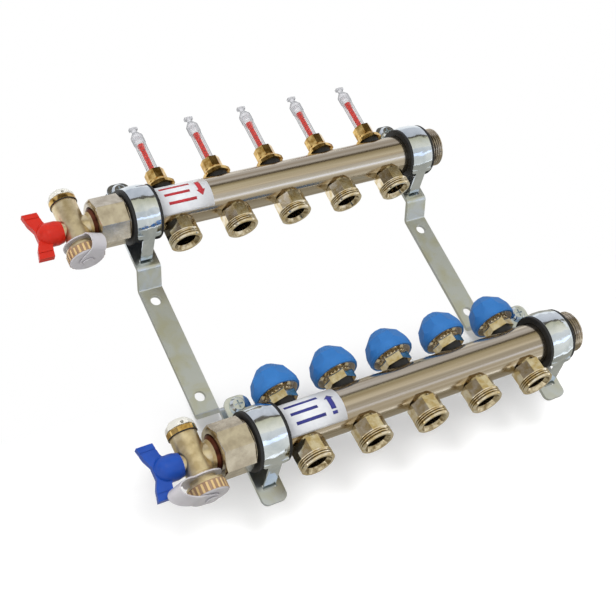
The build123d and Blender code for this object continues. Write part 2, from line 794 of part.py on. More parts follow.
end_sets = [
    ("supply", supply_place, supply_tee_top, supply_nut_roll, supply_strap_bulge, supply_strap_turn),
    ("return", return_place, return_tee_top, return_nut_roll, return_strap_bulge, return_strap_turn),
]
for bar_name, place, top, nut_roll, bulge, turn in end_sets:
    spot = place * Location((tee_x, 0, 0))
    vent_spot = spot * Location((0, 0, top))
    save(spot * endTee(top), bar_name + "_end_tee")
    save(spot * drain_ball, bar_name + "_drain_ball")
    save(spot * wing_handle, bar_name + "_wing_handle")
    save(place * Rotation(nut_roll, 0, 0) * union_nut, bar_name + "_union_nut")
    save(vent_spot * vent_plug, bar_name + "_vent_plug")
    save(vent_spot * vent_cap, bar_name + "_vent_cap")
    save(spot * drain_cap, bar_name + "_drain_cap")
    save(spot * drainStrap(bulge, turn), bar_name + "_drain_strap")
gaskets = [(place * union_gasket).solid() for place in (supply_place, return_place)]
save(Compound(children=gaskets), "union_gaskets")
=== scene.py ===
import json
from math import cos, pi, radians, sin

import bmesh
import bpy
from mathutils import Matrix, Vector


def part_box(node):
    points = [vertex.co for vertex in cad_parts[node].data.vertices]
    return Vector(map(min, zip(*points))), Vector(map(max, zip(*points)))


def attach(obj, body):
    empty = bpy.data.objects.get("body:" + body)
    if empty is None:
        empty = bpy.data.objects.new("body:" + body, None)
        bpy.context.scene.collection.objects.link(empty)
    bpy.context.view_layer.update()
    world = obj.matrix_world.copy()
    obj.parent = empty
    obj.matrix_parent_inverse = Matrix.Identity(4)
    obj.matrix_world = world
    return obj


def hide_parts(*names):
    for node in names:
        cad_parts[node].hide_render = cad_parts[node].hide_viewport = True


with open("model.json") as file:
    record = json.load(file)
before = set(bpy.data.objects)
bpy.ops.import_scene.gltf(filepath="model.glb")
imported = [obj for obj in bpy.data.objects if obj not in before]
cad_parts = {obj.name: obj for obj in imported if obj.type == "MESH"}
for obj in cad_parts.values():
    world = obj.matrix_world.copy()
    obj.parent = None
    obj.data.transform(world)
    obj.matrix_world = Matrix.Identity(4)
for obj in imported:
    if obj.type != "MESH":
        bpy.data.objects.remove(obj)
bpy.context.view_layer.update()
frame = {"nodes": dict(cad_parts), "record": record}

nodes = frame["nodes"]
record = frame["record"]
bodyOf = {node: body for body, members in record["behaviour"]["bodies"].items() for node in members}
slotOf = {row["node"]: row["material_slot"] for row in record["subparts"]}
mm = 0.001
circuits = [1, 2, 3, 4, 5]
bars = ["supply", "return"]


def middle(node):
    low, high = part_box(node)
    return (low + high) / 2


# Places worked out from the frame
barAxis = {bar: middle(bar + "_bar") for bar in bars}
barRadius = (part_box("supply_bar")[1].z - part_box("supply_bar")[0].z) / 2
circuitX = [middle("flow_meter_base_%d" % i).x for i in circuits]
teeX = middle("supply_drain_cap").x
returnTilt = radians(8.0)  # the return bar is turned this far in its clamps
upward = {"supply": Vector((0, 0, 1)), "return": Vector((0, sin(returnTilt), cos(returnTilt)))}
alongBar = Vector((1, 0, 0))


# Colours and nodes

def linear(code):
    # sRGB hex to the linear values that Blender's sockets take
    values = [int(code[i:i + 2], 16) / 255 for i in (1, 3, 5)]
    return tuple(v / 12.92 if v <= 0.04045 else ((v + 0.055) / 1.055) ** 2.4 for v in values) + (1.0,)


def setSockets(node, sockets):
    # each socket takes a link or a plain value
    for name, value in sockets.items():
        if isinstance(value, bpy.types.NodeSocket):
            node.id_data.links.new(value, node.inputs[name])
        else:
            node.inputs[name].default_value = value
    return node


def addNode(tree, kind, sockets=None, **settings):
    node = tree.nodes.new("ShaderNode" + kind)
    for name, value in settings.items():
        setattr(node, name, value)
    return setSockets(node, sockets or {})


def startMaterial(name, **sockets):
    material = bpy.data.materials.new(name)
    material.use_nodes = True
    tree = material.node_tree
    values = {socket.replace("_", " "): value for socket, value in sockets.items()}
    shader = setSockets(tree.nodes["Principled BSDF"], values)
    place = addNode(tree, "TexCoord").outputs["Object"]
    return material, tree, shader, place


def perMetre(sizeInMm):
    # noise scale that gives features of this size, as one unit of noise is about one feature
    return 1000.0 / sizeInMm


def makeSatinStainless(name, base, warm, low, high, lineMm=0.35, streakMm=6.0, stretch=0.012):
    # drawn stainless tube, polished along its length: soft and slightly warm, with long fine lines
    # along X, which are drawn coarser than real polishing lines so that they show
    material, tree, shader, place = startMaterial(name, Metallic=1.0, Roughness=low)
    lines = addNode(tree, "Mapping", {"Vector": place, "Scale": (stretch, 1.0, 1.0)}).outputs["Vector"]
    fine = addNode(tree, "TexNoise", {"Vector": lines, "Scale": perMetre(lineMm), "Detail": 2.0})
    broad = addNode(tree, "TexNoise", {"Vector": lines, "Scale": perMetre(streakMm), "Detail": 3.0})
    spread = addNode(tree, "MapRange", {"Value": broad.outputs["Fac"], "From Min": 0.4, "From Max": 0.62})
    colour = addNode(tree, "Mix", {0: spread.outputs["Result"], 6: linear(warm), 7: linear(base)},
                     data_type="RGBA")
    rough = addNode(tree, "MapRange", {"Value": fine.outputs["Fac"], "To Min": low, "To Max": high})
    bump = addNode(tree, "Bump", {"Distance": 0.01 * mm, "Height": fine.outputs["Fac"]})
    setSockets(shader, {"Base Color": colour.outputs[2], "Roughness": rough.outputs["Result"],
                        "Normal": bump.outputs["Normal"]})
    return material


def makePlatedBrass(name, base, shade, roughness, grainMm, depthMm, cloudMm=7.0):
    # turned, pressed or cast metal, most of it under a thin plate: reflections as clear as its grain
    # allows, over a faint cloud in the colour
    material, tree, shader, place = startMaterial(name, Metallic=1.0, Roughness=roughness)
    cloud = addNode(tree, "TexNoise", {"Vector": place, "Scale": perMetre(cloudMm), "Detail": 3.0})
    grain = addNode(tree, "TexNoise", {"Vector": place, "Scale": perMetre(grainMm), "Detail": 3.0})
    spread = addNode(tree, "MapRange", {"Value": cloud.outputs["Fac"], "From Min": 0.36, "From Max": 0.64})
    colour = addNode(tree, "Mix", {0: spread.outputs["Result"], 6: linear(shade), 7: linear(base)},
                     data_type="RGBA")
    rough = addNode(tree, "MapRange", {"Value": grain.outputs["Fac"],
                                       "To Min": roughness * 0.7, "To Max": roughness * 1.35})
    bump = addNode(tree, "Bump", {"Distance": depthMm * mm, "Height": grain.outputs["Fac"]})
    setSockets(shader, {"Base Color": colour.outputs[2], "Roughness": rough.outputs["Result"],
                        "Normal": bump.outputs["Normal"]})
    return material


def makeZinc(name, base, tint, roughness, waveMm, waveDepthMm, patchMm=18.0, grainMm=0.7, grainDepthMm=0.012):
    # zinc plate on rolled steel: cloudy, faintly uneven sheet, so that its reflections waver
    material, tree, shader, place = startMaterial(name, Metallic=1.0, Roughness=roughness)
    patches = addNode(tree, "TexNoise", {"Vector": place, "Scale": perMetre(patchMm), "Detail": 4.0,
                                         "Distortion": 0.6})
    waves = addNode(tree, "TexNoise", {"Vector": place, "Scale": perMetre(waveMm), "Detail": 1.0})
    grain = addNode(tree, "TexNoise", {"Vector": place, "Scale": perMetre(grainMm), "Detail": 3.0})
    spread = addNode(tree, "MapRange", {"Value": patches.outputs["Fac"], "From Min": 0.42, "From Max": 0.66})
    colour = addNode(tree, "Mix", {0: spread.outputs["Result"], 6: linear(base), 7: linear(tint)},
                     data_type="RGBA")
    rough = addNode(tree, "MapRange", {"Value": grain.outputs["Fac"],
                                       "To Min": roughness * 0.75, "To Max": roughness * 1.35})
    uneven = addNode(tree, "Bump", {"Distance": waveDepthMm * mm, "Height": waves.outputs["Fac"]})
    bump = addNode(tree, "Bump", {"Distance": grainDepthMm * mm, "Height": grain.outputs["Fac"],
                                  "Normal": uneven.outputs["Normal"]})
    setSockets(shader, {"Base Color": colour.outputs[2], "Roughness": rough.outputs["Result"],
                        "Normal": bump.outputs["Normal"]})
    return material


def makePlastic(name, base, shade, roughness, grainMm, depthMm, cloudMm=9.0, **sockets):
    # moulded plastic or rubber, or dried ink: even colour with a faint cloud, and the fine grain of the mould
    material, tree, shader, place = startMaterial(name, Roughness=roughness, IOR=1.5, **sockets)
    cloud = addNode(tree, "TexNoise", {"Vector": place, "Scale": perMetre(cloudMm), "Detail": 2.0})
    grain = addNode(tree, "TexNoise", {"Vector": place, "Scale": perMetre(grainMm), "Detail": 2.0})
    colour = addNode(tree, "Mix", {0: cloud.outputs["Fac"], 6: linear(shade), 7: linear(base)},
                     data_type="RGBA")
    bump = addNode(tree, "Bump", {"Distance": depthMm * mm, "Height": grain.outputs["Fac"]})
    setSockets(shader, {"Base Color": colour.outputs[2], "Normal": bump.outputs["Normal"]})
    return material


def makeClearTube(name, centreAlpha, edgeAlpha, body, edgeShade, roughness, flowMm=3.0, flowDepthMm=0.004):
    # clear injection-moulded plastic: see-through where it faces the eye; where its wall is edge on it turns
    # more opaque, with a painted grey shade and reflection
    material, tree, shader, place = startMaterial(name, Roughness=roughness, IOR=1.5)
    facing = addNode(tree, "LayerWeight", {"Blend": 0.5}).outputs["Facing"]
    wall = {"Value": facing, "From Min": 0.2, "From Max": 0.8}
    flow = addNode(tree, "TexNoise", {"Vector": place, "Scale": perMetre(flowMm), "Detail": 2.0})
    edge = addNode(tree, "MapRange", wall)
    alpha = addNode(tree, "MapRange", {**wall, "To Min": centreAlpha, "To Max": edgeAlpha})
    # painted shade and reflection: the colour turns to the darker edge grey where the wall is edge on
    colour = addNode(tree, "Mix", {0: edge.outputs["Result"], 6: linear(body), 7: linear(edgeShade)},
                     data_type="RGBA")
    bump = addNode(tree, "Bump", {"Distance": flowDepthMm * mm, "Height": flow.outputs["Fac"]})
    setSockets(shader, {"Base Color": colour.outputs[2], "Alpha": alpha.outputs["Result"],
                        "Normal": bump.outputs["Normal"]})
    return material


def makeLabelFilm(name, base, shade, grainMm=2.5, depthMm=0.008):
    # white vinyl film with a slight silver cast and a soft gloss
    material, tree, shader, place = startMaterial(name, Roughness=0.3, IOR=1.46, Coat_Weight=0.3)
    grain = addNode(tree, "TexNoise", {"Vector": place, "Scale": perMetre(grainMm), "Detail": 2.0})
    colour = addNode(tree, "Mix", {0: grain.outputs["Fac"], 6: linear(shade), 7: linear(base)},
                     data_type="RGBA")
    bump = addNode(tree, "Bump", {"Distance": depthMm * mm, "Height": grain.outputs["Fac"]})
    setSockets(shader, {"Base Color": colour.outputs[2], "Normal": bump.outputs["Normal"]})
    return material


# One finish for each of the record's material slots
finishes = {
    # polished tube: warm sheen with long soft streaks
    "stainless_steel": makeSatinStainless("satin stainless steel", "#cdc4b4", "#ac9f8a", 0.11, 0.24),
    # turned, then plated: clear reflections with a golden shade
    "nickel_plated_brass": makePlatedBrass("nickel-plated brass", "#f3ead6", "#d6c191", 0.1, 0.8, 0.006, 5.0),
    # bare turned brass: deep yellow, clear reflections
    "yellow_brass": makePlatedBrass("turned brass", "#ecca82", "#ac8541", 0.11, 0.6, 0.008, 4.0),
    # blasted casting: matt and grainy, with no clear reflection
    "cast_brass": makePlatedBrass("blasted brass casting", "#f0e2c0", "#cdbb94", 0.38, 0.45, 0.05),
    # milled flats under a satin plate: each flat takes one even tone
    "nut_brass": makePlatedBrass("satin nickel-plated brass", "#d8d0c0", "#bdb4a4", 0.19, 0.4, 0.012),
    # ground spindle: plain grey
    "pin_steel": makePlatedBrass("stainless spindle steel", "#c6c6c6", "#a9a9aa", 0.22, 0.6, 0.005),
    # rolled strip: pale, cloudy and almost matt
    "zinc_plated_steel": makeZinc("zinc-plated strip", "#ccd4dc", "#c6cabf", 0.3, 30.0, 0.05),
    # thin bright band: mirror-like, with reflections that waver
    "bright_zinc_steel": makeZinc("bright zinc plate", "#e0e8ee", "#c8d2da", 0.11, 9.0, 0.6),
    # moulded rubber: near black, dull
    "black_rubber": makePlastic("EPDM rubber", "#17181a", "#0d0e10", 0.55, 0.5, 0.03),
    # clear wall with a painted grey shade and reflection only at its edges
    "clear_plastic": makeClearTube("clear polyamide", 0.02, 0.8, "#f2f5f6", "#5c686e", 0.05),
    # milky and slightly see-through
    "translucent_plastic": makePlastic("milky polypropylene", "#d3d0d4", "#c2bfc3", 0.25, 0.9, 0.02,
                                       Alpha=0.85),
    # warm white with a little depth
    "white_plastic": makePlastic("white polyamide", "#ecebe4", "#d6d4c8", 0.35, 0.7, 0.02, Alpha=0.9),
    # strong even red with a soft highlight
    "red_plastic": makePlastic("red ABS", "#cc2816", "#b41e10", 0.34, 0.6, 0.015, Specular_IOR_Level=0.25),
    # spark-textured mould: matt mid blue
    "blue_cap_plastic": makePlastic("blue ABS, fine texture", "#2a72b8", "#2264a6", 0.5, 0.45, 0.03,
                                    Specular_IOR_Level=0.3),
    # smooth mould: dark blue with a soft highlight
    "blue_handle_plastic": makePlastic("dark blue ABS", "#1a4fae", "#123d93", 0.3, 0.6, 0.015,
                                       Specular_IOR_Level=0.3),
}

# Finishes of single stretches and of the printed pieces
labelFilm = makeLabelFilm("label film", "#e2e4e6", "#d2d4d9")
redInk = makePlastic("red printing ink", "#c4242e", "#a81c26", 0.4, 0.4, 0.005)  # thin and flat
blueInk = makePlastic("blue printing ink", "#2b2f8c", "#22266f", 0.4, 0.4, 0.005)
greyInk = makePlastic("grey printing ink", "#55585c", "#43464a", 0.4, 0.4, 0.005)
paleLiner = makePlastic("pale grey polyamide", "#e4dfda", "#d0cbc6", 0.4, 0.6, 0.02)  # light, soft sheen
# brass behind a milky skirt, as a lit and a shaded copy: painted light where a rib lies over the thread,
# painted shade, brown, between the ribs
ribPaintedLight = makePlastic("brass thread seen through plastic, painted light", "#dcc28e", "#c2a06a", 0.25, 1.5, 0.02)
ribPaintedShade = makePlastic("shaded brass seen through plastic", "#a5876a", "#856750", 0.3, 1.5, 0.02)
redOxide = makePlatedBrass("oxidised brass collar", "#7d4a3a", "#4f2c22", 0.4, 0.5, 0.02)  # dull red-brown
# roots of the threads, where little light comes: darker and duller than the crests
steelRoot = makePlatedBrass("shaded steel thread root", "#9c9284", "#7a7064", 0.3, 0.5, 0.01, 4.0)
threadRoot = makePlatedBrass("shaded thread root", "#8d7a52", "#5c4b2e", 0.35, 0.5, 0.01, 4.0)
# painted shade: the outlets' bore takes a blotchy brass, darker than the outside
shadedBoreBrass = makePlatedBrass("plated brass bore in painted shade", "#ddd0b2", "#8c7a57", 0.16, 0.5, 0.01, 4.0)  # blotchy
# painted shade: the bars' bore takes a dark steel colour, and a matt roughness
shadedBoreSteel = makeSatinStainless("unpolished tube bore in painted shade", "#7d766a", "#564f44", 0.35, 0.5)  # dark and matt
# the frosted cap and the clear bore also take a painted grey shade at their edge-on walls
cloudyCap = makeClearTube("frosted polyamide", 0.5, 0.9, "#cfcfd4", "#85888c", 0.25)  # pale grey, half clear
innerWall = makeClearTube("clear polyamide bore", 0.0, 0.12, "#eef2f4", "#8a9496", 0.3)  # almost unseen
print("materials made:", len(bpy.data.materials))


# Pieces

def cleanCopy(node):
    # the node's surface with its flat triangles joined again, ready for bevels
    sameSpotMm, flatDegrees = 0.002, 0.6
    built = bmesh.new()
    built.from_mesh(nodes[node].data)
    bmesh.ops.remove_doubles(built, verts=built.verts, dist=sameSpotMm * mm)
    bmesh.ops.dissolve_limit(built, angle_limit=radians(flatDegrees), verts=built.verts, edges=built.edges)
    return built


def paintWhere(built, index, test):
    # gives the faces whose corners all pass the test the material with this index
    for face in built.faces:
        if all(test(corner.co) for corner in face.verts):
            face.material_index = index


def finishPiece(built, name, body, materials, bevelMm=0.3, bendLimit=30.0, flat=False):
    # makes the object, rounds the edges that bend by more than the limit in degrees, and lets it ride
    mesh = bpy.data.meshes.new(name)
    for face in built.faces:
        face.smooth = not flat
    built.to_mesh(mesh)
    built.free()
    for material in materials:
        mesh.materials.append(material)
    piece = bpy.data.objects.new(name, mesh)
    bpy.context.scene.collection.objects.link(piece)
    if bevelMm:
        bevel = piece.modifiers.new("edges", "BEVEL")
        bevel.width = bevelMm * mm
        bevel.segments = 2
        bevel.limit_method = "ANGLE"
        bevel.angle_limit = radians(bendLimit)
        bevel.use_clamp_overlap = True
        if not flat:
            normals = piece.modifiers.new("flat faces", "WEIGHTED_NORMAL")
            normals.keep_sharp = True
    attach(piece, body)
    return piece


def standIn(built, node, materials, bevelMm, bendLimit=30.0, flat=False):
    # the finished piece takes the place of the CAD node
    piece = finishPiece(built, node + "_finished", bodyOf[node], materials, bevelMm, bendLimit, flat)
    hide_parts(node)
    return piece


def dress(node, bevelMm, regions=(), bendLimit=30.0, flat=False, cut=None):
    # regions are (material, test of a corner) pairs for stretches with their own finish;
    # cut is a plane, as a point and a direction, that parts them
    built = cleanCopy(node)
    if cut:
        everything = built.verts[:] + built.edges[:] + built.faces[:]
        bmesh.ops.bisect_plane(built, geom=everything, plane_co=cut[0], plane_no=cut[1])
    materials = [finishes[slotOf[node]]]
    for material, test in regions:
        materials.append(material)
        paintWhere(built, len(materials) - 1, test)
    return standIn(built, node, materials, bevelMm, bendLimit, flat)


def squareTo(axis):
    # two directions square to an axis
    side = axis.cross(Vector((0, 1, 0)))
    if side.length < 0.1:
        side = axis.cross(Vector((1, 0, 0)))
    side.normalize()
    return side, axis.cross(side)


def heightAndRadius(spot, centre, axis):
    height = (spot - centre).dot(axis)
    return height, ((spot - centre) - axis * height).length


def inside(centre, axis, radiusMm, topMm=None):
    # a test for corners nearer to the axis than the radius and, if a top is given, below it
    def test(spot):
        height, radius = heightAndRadius(spot, centre, axis)
        return radius < radiusMm * mm and (topMm is None or height < topMm * mm)
    return test


def outside(centre, axis, radiusMm):
    # a test for corners further from the axis than the radius
    return lambda spot: heightAndRadius(spot, centre, axis)[1] > radiusMm * mm


def beyond(centre, axis, startMm):
    # a test for corners further along the axis than the start
    return lambda spot: heightAndRadius(spot, centre, axis)[0] > startMm * mm


def lathe(name, centre, axis, profile, body, material, around=64, teeth=None):
    # a closed ring turned from (height, radius) points in mm; teeth is (count, depth in mm)
    steepness, tipMm = 3.0, 0.05
    built = bmesh.new()
    side, other = squareTo(axis)
    tip = max(radius for height, radius in profile) - tipMm
    rings = []
    for height, radius in profile:
        ring = []
        for i in range(around):
            turn = 2 * pi * i / around
            r = radius
            if teeth and radius > tip:
                r -= teeth[1] * (0.5 + 0.5 * max(-1.0, min(1.0, steepness * sin(turn * teeth[0]))))
            out = side * cos(turn) + other * sin(turn)
            ring.append(built.verts.new(centre + axis * height * mm + out * r * mm))
        rings.append(ring)
    for low, high in zip(rings, rings[1:] + rings[:1]):
        for i in range(around):
            k = (i + 1) % around
            built.faces.new((low[i], low[k], high[k], high[i]))
    bmesh.ops.recalc_face_normals(built, faces=built.faces)
    return finishPiece(built, name, body, [material], 0)


# What all threads share: the groove's form is in shares of the pitch, and faces deeper than rootFrom of
# the full groove take the piece's third material
threadForm = {"around": 72, "stepsPerTurn": 12, "flankShare": 0.42, "flankCurve": 0.8, "rootFrom": 0.55,
              "slackMm": 0.06, "skinMm": 0.3}


def swapForThread(built, centre, axis, bandMm, thread):
    # takes the plain band away between two places on the axis and puts a helical thread there
    start, end = (place * mm for place in bandMm)
    radius, pitch, depth = (thread[size] * mm for size in ("radiusMm", "pitchMm", "depthMm"))
    slack, skin = threadForm["slackMm"] * mm, threadForm["skinMm"] * mm
    plainFaces = []
    for face in built.faces:
        heights, radii = zip(*[heightAndRadius(corner.co, centre, axis) for corner in face.verts])
        inBand = min(heights) > start - slack and max(heights) < end + slack
        fullLength = max(heights) - min(heights) > 0.5 * (end - start)
        if inBand and fullLength and min(radii) > radius - skin and max(radii) < radius + skin:
            plainFaces.append(face)
    bmesh.ops.delete(built, geom=plainFaces, context="FACES")
    side, other = squareTo(axis)
    around = threadForm["around"]
    steps = int((end - start) / pitch * threadForm["stepsPerTurn"])
    rows = []
    grooves = {}
    for j in range(steps + 1):
        along = start + (end - start) * j / steps
        fade = max(0.0, min(1.0, (along - start) / (0.5 * pitch), (end - along) / (0.5 * pitch)))
        row = []
        for i in range(around):
            turn = 2 * pi * i / around
            phase = (along / pitch - turn / (2 * pi)) % 1.0
            groove = max(0.0, 1.0 - abs(phase - 0.5) / threadForm["flankShare"]) ** threadForm["flankCurve"]
            r = radius - depth * groove * fade
            corner = built.verts.new(centre + axis * along + (side * cos(turn) + other * sin(turn)) * r)
            grooves[corner] = groove * fade
            row.append(corner)
        rows.append(row)
    for low, high in zip(rows, rows[1:]):
        for i in range(around):
            k = (i + 1) % around
            face = built.faces.new((low[i], low[k], high[k], high[i]))
            if sum(grooves[corner] for corner in face.verts) / 4 > threadForm["rootFrom"]:
                face.material_index = 2
    return len(plainFaces)


# Bars, with their G1 threads in place of the plain ends
barThread = {"bandsMm": ((143.0, 155.4), (-159.4, -142.5)), "radiusMm": 16.6, "pitchMm": 2.309,
             "depthMm": 1.1, "boreMm": 15.6, "bevelMm": 0.15, "bendLimit": 40.0}
for bar in bars:
    node = bar + "_bar"
    built = cleanCopy(node)
    centre = Vector((0, barAxis[bar].y, barAxis[bar].z))
    # painted shade: faces inside the bar's bore take the dark bore steel
    paintWhere(built, 1, inside(centre, alongBar, barThread["boreMm"]))
    for bandMm in barThread["bandsMm"]:
        taken = swapForThread(built, centre, alongBar, bandMm, barThread)
        print(bar, "bar thread, plain faces taken away:", taken)
    materials = [finishes["stainless_steel"], shadedBoreSteel, steelRoot]
    standIn(built, node, materials, barThread["bevelMm"], barThread["bendLimit"])

# Outlets, with G3/4 threads
outletThread = {"bandMm": (28.1, 33.7), "radiusMm": 13.2, "pitchMm": 1.814, "depthMm": 1.0, "boreMm": 10.7,
                "bevelMm": 0.3}
for bar in bars:
    node = bar + "_outlets"
    built = cleanCopy(node)
    for x in circuitX:
        centre = Vector((x, barAxis[bar].y, barAxis[bar].z))
        # painted shade: faces inside each outlet's bore take the darker bore brass
        paintWhere(built, 1, inside(centre, -upward[bar], outletThread["boreMm"]))
        taken = swapForThread(built, centre, -upward[bar], outletThread["bandMm"], outletThread)
    print(bar, "outlet thread, plain faces taken away:", taken)
    materials = [finishes["nickel_plated_brass"], shadedBoreBrass, threadRoot]
    standIn(built, node, materials, outletThread["bevelMm"])
print("bars and outlets done")

# Flow meters: brass base whose neck under the flange is painted near black, clear tube with a frosted cap and
# a printed scale, whose marks lie on an arc of the tube's outside, every second one shorter
meter = {"blackNeckTopMm": 18.35, "blackNeckRadiusMm": 9.3, "frostFromMm": 62.5, "boreMm": 3.5,
         "baseBevelMm": 0.4, "tubeBevelMm": 0.3, "indicatorBevelMm": 0.2,
         "marks": 6, "marksFromMm": 38.0, "markStepMm": 4.0, "markHeightMm": 0.45, "markRadiusMm": 4.74,
         "markTurn": 238.0, "markSpan": 34.0, "shortMark": 0.6, "markParts": 4, "inkMm": 0.05}
for i, x in zip(circuits, circuitX):
    centre = Vector((x, barAxis["supply"].y, barAxis["supply"].z))
    up = upward["supply"]
    # the neck under the flange is painted near black with the black rubber finish
    seal = inside(centre, up, meter["blackNeckRadiusMm"], meter["blackNeckTopMm"])
    frost = beyond(centre, up, meter["frostFromMm"])
    bore = inside(centre, up, meter["boreMm"], meter["frostFromMm"])
    dress("flow_meter_base_%d" % i, meter["baseBevelMm"], [(finishes["black_rubber"], seal)])
    dress("sight_tube_%d" % i, meter["tubeBevelMm"], [(cloudyCap, frost), (innerWall, bore)])
    dress("flow_indicator_%d" % i, meter["indicatorBevelMm"])
    built = bmesh.new()
    for row in range(meter["marks"]):
        low = meter["marksFromMm"] + row * meter["markStepMm"]
        span = meter["markSpan"] if row % 2 == 0 else meter["markSpan"] * meter["shortMark"]
        previous = None
        for step in range(meter["markParts"] + 1):
            turn = radians(meter["markTurn"] + span * step / meter["markParts"])
            out = Vector((cos(turn), sin(turn), 0)) * meter["markRadiusMm"] * mm
            pair = [built.verts.new(centre + out + Vector((0, 0, height * mm)))
                    for height in (low, low + meter["markHeightMm"])]
            if previous:
                built.faces.new((previous[0], pair[0], pair[1], previous[1]))
            previous = pair
    marks = finishPiece(built, "sight_scale_%d" % i, "manifold", [greyInk], 0)
    film = marks.modifiers.new("ink", "SOLIDIFY")
    film.thickness = meter["inkMm"] * mm
print("flow meters done")

# Valve inserts with a toothed collar, pins, and caps with a pale inside; the caps' facets stay flat
valve = {"blackNeckTopMm": 18.65, "blackNeckRadiusMm": 9.3, "insideMm": 15.75, "insideTopMm": 44.0,
         "insertBevelMm": 0.35, "pinBevelMm": 0.2, "capBevelMm": 0.3, "capBendLimit": 12.0,
         "collarMm": (25.7, 28.1), "collarRadiusMm": 11.2, "collarDeepMm": 1.0, "collarEdgeMm": 0.3,
         "collarPoints": 176, "teeth": 22, "toothMm": 0.7}
for i, x in zip(circuits, circuitX):
    centre = Vector((x, barAxis["return"].y, barAxis["return"].z))
    axis = upward["return"]
    # the insert's neck under the hex is painted near black with the black rubber finish
    seal = inside(centre, axis, valve["blackNeckRadiusMm"], valve["blackNeckTopMm"])
    lining = inside(centre, axis, valve["insideMm"], valve["insideTopMm"])
    dress("valve_insert_%d" % i, valve["insertBevelMm"], [(finishes["black_rubber"], seal)])
    dress("valve_pin_%d" % i, valve["pinBevelMm"])
    dress("valve_cap_%d" % i, valve["capBevelMm"], [(paleLiner, lining)], valve["capBendLimit"], True)
    low, high = valve["collarMm"]
    outer, deep, edge = valve["collarRadiusMm"], valve["collarDeepMm"], valve["collarEdgeMm"]
    profile = [(low, outer - deep), (low, outer - edge), (low + edge, outer),
               (high - edge, outer), (high, outer - edge), (high, outer - deep)]
    collar = lathe("valve_collar_%d" % i, centre, axis, profile, "manifold", finishes["nickel_plated_brass"],
                   valve["collarPoints"], (valve["teeth"], valve["toothMm"]))
print("valves done")

# End sets: the tee's collar is oxidised where the nut turns on it, and a black ring seals the vent, at
# the foot of the plug's ring and a small gap under the cap
endSet = {"teeBevelMm": 0.6, "collarFromMm": 12.2, "collarSlackMm": 0.01, "plugRingMm": 5.0, "capGapMm": 0.3,
          "ringMm": 10.35, "ringThickMm": 0.55, "ringLiftMm": 0.5, "ringPoints": 12}
for bar in bars:
    collarStart = Vector((teeX + endSet["collarFromMm"] * mm, 0, 0))
    oxide = beyond(collarStart, alongBar, -endSet["collarSlackMm"])
    dress(bar + "_end_tee", endSet["teeBevelMm"], [(redOxide, oxide)], cut=(collarStart, alongBar))
    top = middle(bar + "_vent_cap")
    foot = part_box(bar + "_vent_cap")[0].z - endSet["capGapMm"] * mm - endSet["plugRingMm"] * mm
    loop = []
    for k in range(endSet["ringPoints"]):
        turn = 2 * pi * k / endSet["ringPoints"]
        loop.append((endSet["ringLiftMm"] + endSet["ringThickMm"] * sin(turn),
                     endSet["ringMm"] + endSet["ringThickMm"] * cos(turn)))
    seal = lathe(bar + "_vent_seal", Vector((top.x, top.y, foot)), Vector((0, 0, 1)), loop, "manifold",
                 finishes["black_rubber"])

# Drain caps: the brass thread shows through the side of the cap, with painted light behind each rib and
# painted shade between the ribs
drain = {"bevelMm": 0.2, "skirtMm": 13.85, "ribMm": 14.0}
for bar in bars:
    centre = Vector((teeX, barAxis[bar].y, barAxis[bar].z))
    down = Vector((0, 0, -1))
    skirt = outside(centre, down, drain["skirtMm"])
    ribs = outside(centre, down, drain["ribMm"])
    dress(bar + "_drain_cap", drain["bevelMm"], [(ribPaintedShade, skirt), (ribPaintedLight, ribs)])
print("end sets done")

# Every other node keeps its form, with rounded edges
bevels = {"zinc_plated_steel": 0.35, "bright_zinc_steel": 0.3, "nut_brass": 0.7, "white_plastic": 0.5,
          "blue_handle_plastic": 0.9, "red_plastic": 0.9, "black_rubber": 0.4, "translucent_plastic": 0.25}
plainBevel = 0.3
made = {bar + ending for bar in bars for ending in ("_bar", "_outlets", "_end_tee", "_drain_cap")}
for kind in ("flow_meter_base", "sight_tube", "flow_indicator", "valve_insert", "valve_pin", "valve_cap"):
    made.update("%s_%d" % (kind, i) for i in circuits)
for node in sorted(nodes):
    if node not in made:
        dress(node, bevels.get(slotOf[node], plainBevel))
print("other nodes done")


# Labels wrapped on the bars, as a film with printed bars and an arrow on it
labelMake = {"filmMm": 0.08, "filmLiftMm": 0.1, "inkLiftMm": 0.18, "stepDegrees": 5, "sameSpotMm": 0.001,
             "firstBar": 27, "barStep": 25, "barWide": 8, "barInset": 0.0045, "barShift": 0.0015,
             "arrowInset": 0.0085}


def wrapped(bar, name, rows, liftMm, material):
    # a thin strip laid on the bar, from rows of (degrees from the top towards the front, low x, high x)
    built = bmesh.new()
    centre = barAxis[bar]
    radius = barRadius + liftMm * mm
    laid = []
    for (turnA, lowA, highA), (turnB, lowB, highB) in zip(rows, rows[1:]):
        steps = max(1, int((turnB - turnA) / labelMake["stepDegrees"]))
        for j in range(steps + 1):
            share = j / steps
            turn = radians(turnA + (turnB - turnA) * share)
            ends = (lowA + (lowB - lowA) * share, highA + (highB - highA) * share)
            laid.append([built.verts.new((x, centre.y - radius * sin(turn), centre.z + radius * cos(turn)))
                         for x in ends])
            if j:
                low, high = laid[-2:]
                built.faces.new((low[0], low[1], high[1], high[0]))
    bmesh.ops.remove_doubles(built, verts=built.verts, dist=labelMake["sameSpotMm"] * mm)
    piece = finishPiece(built, name, "manifold", [material], 0)
    film = piece.modifiers.new("film", "SOLIDIFY")
    film.thickness = labelMake["filmMm"] * mm
    film.offset = 0
    return piece


